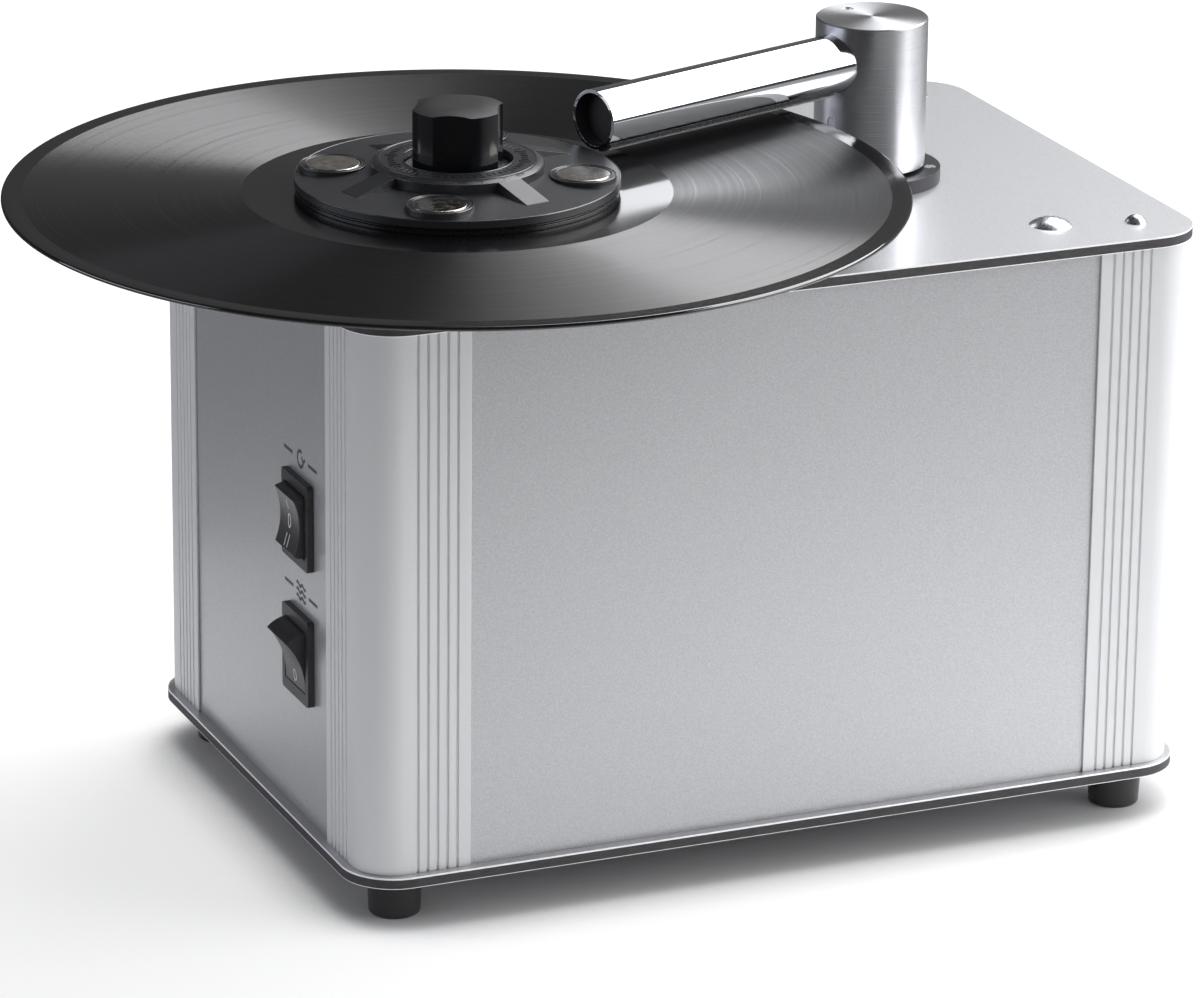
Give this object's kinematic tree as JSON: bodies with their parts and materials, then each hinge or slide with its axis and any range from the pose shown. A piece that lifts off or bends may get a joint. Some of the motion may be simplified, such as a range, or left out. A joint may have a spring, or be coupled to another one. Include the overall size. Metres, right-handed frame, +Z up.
{
  "type": "record cleaning machine",
  "caption": "Box-shaped record cleaning machine with a motor platter, screw-down clamp, swinging vacuum arm on a round post, and rocker switches on its side.",
  "frame": {"origin": "centre of the case footprint, on the surface that the feet stand on", "axes": "+Z up, +X along the front from the switch side to the plain side, front panel faces -Y"},
  "size_m": [0.4143, 0.3408, 0.2769],
  "materials": {
    "composite": "satin aluminium-composite sheet with a dark core",
    "anodised": "satin anodised extrusion",
    "panel": "fine-grained satin sheet",
    "rubber": "matt black rubber",
    "steel_screw": "bright zinc-plated steel",
    "switch_plastic": "satin black plastic",
    "rocker_plastic": "glossy black plastic",
    "brass": "bright brass",
    "steel": "ground steel",
    "cast_zinc": "cast and machined",
    "platter_metal": "machined aluminium",
    "felt": "black mat",
    "vinyl": "glossy black pressed vinyl with fine grooves",
    "paper": "plain matt paper",
    "clamp_plastic": "satin black moulded disc",
    "nickel": "nickel-plated disc",
    "knob_plastic": "satin black knob",
    "black_metal": "black anodised ring",
    "turned_aluminium": "fine-turned aluminium",
    "chrome": "polished chrome tube",
    "velvet": "black velvet",
    "tank_plastic": "milky polyethylene",
    "fan_plastic": "black moulded plastic",
    "board": "green circuit board"
  },
  "bodies": {
    "case": {"bottom_plate": "composite", "top_plate": "composite", "front_left_extrusion": "anodised", "front_right_extrusion": "anodised", "rear_left_extrusion": "anodised", "rear_right_extrusion": "anodised", "front_panel": "panel", "rear_panel": "panel", "left_panel": "panel", "right_panel": "panel", "rubber_feet": "rubber", "corner_screws": "steel_screw", "dome_bolt": "steel_screw", "dome_nut": "steel_screw", "motor_switch_housing": "switch_plastic", "vacuum_switch_housing": "switch_plastic", "mains_inlet": "switch_plastic", "inlet_pins": "brass", "drain_spout": "brass", "gear_motor": "cast_zinc", "motor_bracket": "steel", "drive_screws": "steel_screw", "bearing_housing": "platter_metal", "bearing_bushes": "brass", "post_flange": "black_metal", "flange_screws": "steel_screw", "guide_tube": "steel", "fluid_tank": "tank_plastic", "tank_lid": "tank_plastic", "suction_hose": "rubber", "link_hose": "rubber", "tank_hanger": "steel", "turbine_mount": "rubber", "turbine_motor": "cast_zinc", "turbine_housing": "fan_plastic", "turbine_lid": "fan_plastic", "power_board": "board"},
    "platter": {"motor_shaft": "steel", "shaft_coupling": "platter_metal", "platter_shaft": "steel", "platter": "platter_metal", "platter_mat": "felt", "record": "vinyl", "record_labels": "paper"},
    "clamp": {"clamp_disc": "clamp_plastic", "clamp_gasket": "rubber", "clamp_inserts": "nickel"},
    "knob": {"clamp_knob": "knob_plastic", "clamp_bush": "steel"},
    "arm_seat": {"arm_collar": "switch_plastic", "arm_spring": "steel"},
    "arm": {"arm_post": "turned_aluminium", "post_screws": "steel_screw", "suction_tube": "chrome", "tube_plug": "rubber", "velvet_pads": "velvet"},
    "motor_rocker": {"motor_rocker": "rocker_plastic"},
    "vacuum_rocker": {"vacuum_rocker": "rocker_plastic"},
    "fan": {"impeller": "platter_metal"},
    "stopper": {"drain_stopper": "rubber"}
  },
  "joints": [
    {"name": "platter_spin", "type": "hinge", "parent": "case", "child": "platter", "pos_m": [-0.107, -0.068, 0.22], "axis": [0, 0, 1], "continuous": true},
    {"name": "clamp_lift", "type": "slide", "parent": "platter", "child": "clamp", "axis": [0, 0, 1], "range_m": [0, 0.045]},
    {"name": "knob_turn", "type": "hinge", "parent": "clamp", "child": "knob", "pos_m": [-0.107, -0.068, 0.26], "axis": [0, 0, 1], "continuous": true},
    {"name": "arm_swing", "type": "hinge", "parent": "case", "child": "arm_seat", "pos_m": [0.0737, -0.0049, 0.22], "axis": [0, 0, 1], "range_deg": [-100, 15]},
    {"name": "arm_press", "type": "slide", "parent": "arm_seat", "child": "arm", "axis": [0, 0, 1], "range_m": [-0.001, 0], "stiffness_N_per_m": 1000, "springref_m": 0.004, "deforming": ["arm_spring"]},
    {"name": "motor_rocker_tilt", "type": "hinge", "parent": "case", "child": "motor_rocker", "pos_m": [-0.1537, -0.0395, 0.1272], "axis": [0, 1, 0], "range_deg": [-14, 14]},
    {"name": "vacuum_rocker_tilt", "type": "hinge", "parent": "case", "child": "vacuum_rocker", "pos_m": [-0.1537, -0.0395, 0.0785], "axis": [0, 1, 0], "range_deg": [0, 40]},
    {"name": "fan_spin", "type": "hinge", "parent": "case", "child": "fan", "pos_m": [-0.045, 0.03, 0.1], "axis": [0, 0, 1], "continuous": true},
    {"name": "stopper_pull", "type": "slide", "parent": "case", "child": "stopper", "axis": [0, 1, 0], "range_m": [0, 0.02]}
  ]
}
